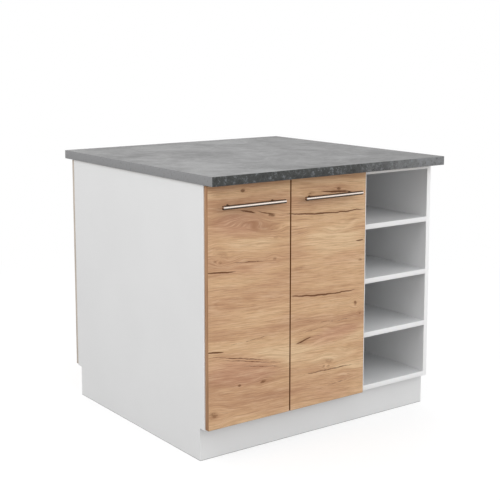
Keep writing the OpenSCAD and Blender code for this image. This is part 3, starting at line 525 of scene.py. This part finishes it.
# The front and rear strips are darker copies of the side strips' slate, as painted shade; the front one
# grows lighter towards +X.
SLATE_FRONT_PAINTED_SHADE = stone_edging("slate_edging_front_painted_shade", (70, 71, 70), (130, 131, 132), -0.02, 0.46, 0.62)
SLATE_REAR_PAINTED_SHADE = stone_edging("slate_edging_rear_painted_shade", (60, 56, 53), (84, 82, 80), -0.4, 0.4, 0.5)
SLATE_SIDES = stone_edging("slate_edging_sides", (141, 141, 142), (138, 138, 139), -0.5, 0.5, 0.2)
BACKING = backing_sheet("worktop_backing")
HARDBOARD = hardboard("coated_hardboard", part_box("cupboard_back")[0].y + HARDBOARD_COAT)
BAR_STEEL = handle_steel("brushed_bar_steel", "handle_bar_left")
POST_STEEL = steel("brushed_post_steel", (128, 116, 106), 0.16, "y")
PIN_STEEL = steel("bright_pin_steel", (222, 222, 220), 0.20, "z")
NICKEL = plated("nickel_plate", (214, 210, 202), 0.20)
ZINC = plated("zinc_plate", (196, 202, 208), 0.30)
CAST_ZINC = plated("cast_zinc", (170, 172, 174), 0.42)
NYLON = moulded("white_nylon", (226, 226, 220), 0.40)
RUBBER = moulded("clear_rubber", (206, 206, 200), 0.30)
BEECH = beech("beech_dowel")


# ---- making pieces ----

# Roundings of the edge strips.
BOARD_ARRIS = 0.0005
OAK_ARRIS = 0.0008
WORKTOP_ARRIS = 0.0006
INNER_ARRIS = 0.0001    # towards the board


def piece(name, form, material, body):
    """Turns a form into a piece that rides on a body."""
    mesh = bpy.data.meshes.new(name)
    form.to_mesh(mesh)
    form.free()
    mesh.shade_smooth()
    mesh.set_sharp_from_angle(angle=SMOOTH_ANGLE)
    mesh.materials.append(material)
    made = bpy.data.objects.new(name, mesh)
    bpy.context.scene.collection.objects.link(made)
    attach(made, body)
    return made


def dress(finish, *nodes):
    """Gives CAD nodes their finish."""
    for node in nodes:
        materials = frame["nodes"][node].data.materials
        materials.clear()
        materials.append(finish)


def merged(node):
    """A copy of a node's mesh with its loose triangles joined, so that it takes new normals."""
    loose = frame["nodes"][node].data.copy()
    loose.attributes.remove(loose.attributes["custom_normal"])
    copy = bmesh.new()
    copy.from_mesh(loose)
    bpy.data.meshes.remove(loose)
    bmesh.ops.remove_doubles(copy, verts=copy.verts, dist=SAME_PLACE)
    return copy


def strip_box(low, high, axis, sign, radius):
    """A thin strip between two corners. Its outer arrises are rounded and its inner ones just broken."""
    strip = bmesh.new()
    bmesh.ops.create_cube(strip, size=1.0)
    bmesh.ops.scale(strip, vec=high - low, verts=strip.verts)
    bmesh.ops.translate(strip, vec=(high + low) / 2, verts=strip.verts)
    outer_face = (high if sign > 0 else low)[axis]
    for outer, size, steps in ((True, radius, 3), (False, INNER_ARRIS, 1)):
        arrises = [edge for edge in strip.edges
                   if all((abs(vert.co[axis] - outer_face) < SAME_PLACE) == outer for vert in edge.verts)]
        bmesh.ops.bevel(strip, geom=arrises, offset=size, affect="EDGES", segments=steps, profile=0.5,
                        material=-1, clamp_overlap=True)
    return strip


def cut_back(core, axis, sign, thickness):
    """Cuts a slice off one face of a board, closes the cut, and gives the slice's corners."""
    limit = max(sign * vert.co[axis] for vert in core.verts)
    cut_at = (limit - thickness) * sign
    beyond = [vert.co for vert in core.verts if sign * vert.co[axis] > limit - thickness]
    low = Vector(min(co[i] for co in beyond) for i in range(3))
    high = Vector(max(co[i] for co in beyond) for i in range(3))
    (low if sign > 0 else high)[axis] = cut_at
    normal = Vector((0, 0, 0))
    normal[axis] = sign
    point = Vector((0, 0, 0))
    point[axis] = cut_at
    cut = bmesh.ops.bisect_plane(core, geom=core.verts[:] + core.edges[:] + core.faces[:],
                                 dist=CUT_TOLERANCE, plane_co=point, plane_no=normal, clear_outer=True)
    rim = [item for item in cut["geom_cut"] if isinstance(item, bmesh.types.BMEdge)]
    bmesh.ops.contextual_create(core, geom=rim)
    return low, high


def edged_board(node, finish, strips, radius=BOARD_ARRIS):
    """Trims a board back on some faces and lays an edge strip on each, so that it keeps its size.

    strips lists a face such as "y-", the strip's finish and its thickness, in the order of laying."""
    core = merged(node)
    body = BODY_OF[node]
    laid = []
    for face, strip_finish, thickness in strips:
        axis = AXES[face[0]]
        sign = 1 if face[1] == "+" else -1
        low, high = cut_back(core, axis, sign, thickness)
        laid.append((FACE_NAMES[face], strip_finish, strip_box(low, high, axis, sign, radius)))
    bmesh.ops.recalc_face_normals(core, faces=core.faces)
    board = piece(node + "_board", core, finish, body)
    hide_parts(node)
    for side, strip_finish, strip in laid:
        piece(f"{node}_strip_{side}", strip, strip_finish, body)


# ---- boards ----

THIN_EDGE = 0.0008      # edge strips of the white boards
THICK_EDGE = 0.001      # and of the oak boards and the worktop
FOOT_SHADOW_HEIGHT = 0.0018      # the grey strip that a board stands on, a painted contact shadow

front_strip = ("y-", WHITE_EDGE_PAINTED_LIGHT, THIN_EDGE)
rear_strip = ("y+", WHITE_EDGE_PAINTED_LIGHT, THIN_EDGE)
shelf_strip = ("y-", SHELF_EDGE_PAINTED_LIGHT, THIN_EDGE)
foot_shadow_strip = ("z-", FOOT_PAINTED_SHADOW, FOOT_SHADOW_HEIGHT)

for node in ("side_panel_left", "side_panel_right"):
    edged_board(node, WHITE, [front_strip, rear_strip, foot_shadow_strip])
for node in ("cupboard_side", "cupboard_bottom", "cupboard_front_rail", "cupboard_shelf"):
    edged_board(node, WHITE, [front_strip])
for node in ("shelf_unit_side", "shelf_unit_top"):
    edged_board(node, INNER_WHITE_PAINTED_LIGHT, [front_strip])
for node in ("shelf_unit_bottom", "open_shelf_lower", "open_shelf_middle", "open_shelf_upper"):
    edged_board(node, SHELF_WHITE_PAINTED_SHADE, [shelf_strip])
for node in ("plinth_front", "plinth_rear"):
    edged_board(node, WHITE, [foot_shadow_strip])
dress(WHITE, "cupboard_rear_rail", "rear_rail_bottom", "rear_rail_middle", "rear_rail_top")
dress(HARDBOARD, "cupboard_back", "shelf_unit_back")


def oak_board(node, finish, left, right):
    """An oak board with an edge strip all round."""
    strips = [("x-", left), ("x+", right), ("z-", OAK_EDGE_LEVEL), ("z+", OAK_EDGE_LEVEL)]
    edged_board(node, finish, [(*strip, THICK_EDGE) for strip in strips], OAK_ARRIS)


oak_board("door_left", OAK_DOORS, OAK_EDGE_UPRIGHT, OAK_EDGE_MEETING_PAINTED_SHADE)
oak_board("door_right", OAK_DOORS, OAK_EDGE_MEETING_PAINTED_SHADE, OAK_EDGE_UPRIGHT)
# The cover panels are named as seen from behind, so the right one is at the -X end.
oak_board("cover_panel_right", OAK_PANELS, PANEL_EDGE_UPRIGHT, OAK_EDGE_MEETING_PAINTED_SHADE)
oak_board("cover_panel_middle", OAK_PANELS, OAK_EDGE_MEETING_PAINTED_SHADE, OAK_EDGE_MEETING_PAINTED_SHADE)
oak_board("cover_panel_left", OAK_PANELS, OAK_EDGE_MEETING_PAINTED_SHADE, PANEL_EDGE_UPRIGHT)
edged_board("worktop", BACKING, [
    ("y-", SLATE_FRONT_PAINTED_SHADE, THICK_EDGE), ("y+", SLATE_REAR_PAINTED_SHADE, THICK_EDGE), ("x-", SLATE_SIDES, THICK_EDGE),
    ("x+", SLATE_SIDES, THICK_EDGE), ("z+", STONE, THICK_EDGE)], WORKTOP_ARRIS)


# ---- handles, hinges and fittings ----

for side in SIDES:
    dress(BAR_STEEL, f"handle_bar_{side}")
    dress(POST_STEEL, f"handle_posts_{side}")
    dress(ZINC, f"handle_screws_{side}", f"hinge_plate_screws_{side}", f"hinge_cup_screws_{side}")
    dress(NICKEL, f"hinge_cups_{side}", f"hinge_arms_{side}", f"hinge_plates_{side}", f"hinge_links_{side}")
    dress(PIN_STEEL, f"hinge_pins_{side}")
    dress(RUBBER, f"door_bumpers_{side}")
dress(NYLON, "panel_clips")
dress(BEECH, "dowels")
dress(ZINC, "cam_bolts", "unit_bolts", "worktop_screws", "worktop_brackets", "bracket_screws")
dress(CAST_ZINC, "cam_locks")
dress(PIN_STEEL, "shelf_pins")


# ---- floor, light and camera ----

FLOOR_RADIUS = 30.0
FLOOR_SHADE = (150, 150, 150)   # what the floor throws back on the object
SHADOW_SHARE = 0.35             # how much of the shadow on the floor shows beside the object
SHADOW_FADES = (0.8, 2.6)       # and how far from the middle it starts and ends fading
AMBIENT = 1.03

# A lamp's azimuth is the way that its light goes: 0 is along +Y and 90 along +X. Then its height in
# degrees above the horizon, its strength and its spread in degrees.
LAMPS = [
    ("front_lamp", -22, 14, 0.23, 60),
    ("back_lamp", 215, 30, 0.08, 60),
]
SIDE_LAMP_AT = (-2.2, -0.6, 2.3)
SIDE_LAMP_AIM = (-0.45, 0.0, 0.8)
SIDE_LAMP_SIZE = 1.6
SIDE_LAMP_WATTS = 18.0

LENS_LENGTH = 78.24             # millimetres, on a sensor 36 mm wide
SENSOR_WIDTH = 36.0
LENS_SHIFT = -0.12
FAR_LIMIT = 200.0
CAMERA_AT = (-2.1235, -2.9192, 1.2313)
CAMERA_DIP = 8.008              # degrees below the horizon
CAMERA_TURN = 36.049            # degrees from +Y towards +X


def put(name, data):
    """An object in the scene that isn't a piece."""
    made = bpy.data.objects.new(name, data)
    bpy.context.scene.collection.objects.link(made)
    return made


def pale_floor():
    """A plain floor that the camera sees near white, with the object's shadow on it."""
    form = bmesh.new()
    bmesh.ops.create_circle(form, cap_ends=True, segments=96, radius=FLOOR_RADIUS)
    mesh = bpy.data.meshes.new("floor")
    form.to_mesh(mesh)
    form.free()
    floor = put("floor", mesh)
    paint = Finish("pale_floor", Roughness=0.9, Specular_IOR_Level=0.0)
    seen = paint.seen()
    paint.look(Base_Color=paint.mix(seen, colour(*FLOOR_SHADE), PURE_WHITE))
    away = paint.node("ShaderNodeVectorMath", {"operation": "LENGTH"}, {0: paint.place()}, out="Value")
    white = paint.node("ShaderNodeEmission", None, {"Color": PURE_WHITE, "Strength": 1.0})
    glow = seen * (away.smooth(*SHADOW_FADES) * SHADOW_SHARE + (1 - SHADOW_SHARE))
    painted = Value(paint, paint.shader.outputs[0])
    shown = paint.node("ShaderNodeMixShader", None, {0: glow, 1: painted, 2: white})
    paint.feed(paint.tree.nodes["Material Output"], {"Surface": shown})
    mesh.materials.append(paint.material)


def sky():
    """Even light from all round, seen as plain white."""
    world = bpy.data.worlds.new("studio")
    world.use_nodes = True
    bpy.context.scene.world = world
    nodes = Nodes(world.node_tree)
    strength = nodes.node("ShaderNodeMapRange", None,
                          {"Value": nodes.seen(), "To Min": AMBIENT, "To Max": 1.0})
    nodes.feed(nodes.tree.nodes["Background"], {"Color": PURE_WHITE, "Strength": strength})


def lamps():
    """Weak broad lamps, and a lamp panel beside the left side."""
    for name, azimuth, elevation, strength, spread in LAMPS:
        lamp = bpy.data.lights.new(name, "SUN")
        lamp.energy = strength * math.pi
        lamp.angle = math.radians(spread)
        put(name, lamp).rotation_euler = (math.radians(90 - elevation), 0, math.radians(-azimuth))
    panel = bpy.data.lights.new("side_lamp", "AREA")
    panel.energy = SIDE_LAMP_WATTS
    panel.size = SIDE_LAMP_SIZE
    made = put("side_lamp", panel)
    made.location = SIDE_LAMP_AT
    made.rotation_euler = (Vector(SIDE_LAMP_AIM) - Vector(SIDE_LAMP_AT)).to_track_quat("-Z", "Y").to_euler()


def camera():
    lens = bpy.data.cameras.new("camera")
    lens.lens = LENS_LENGTH
    lens.sensor_width = SENSOR_WIDTH
    lens.shift_y = LENS_SHIFT
    lens.clip_end = FAR_LIMIT
    made = put("camera", lens)
    made.location = CAMERA_AT
    made.rotation_euler = (math.radians(90 - CAMERA_DIP), 0, math.radians(-CAMERA_TURN))
    bpy.context.scene.camera = made


pale_floor()
sky()
lamps()
camera()
bpy.context.scene.view_settings.view_transform = "Standard"
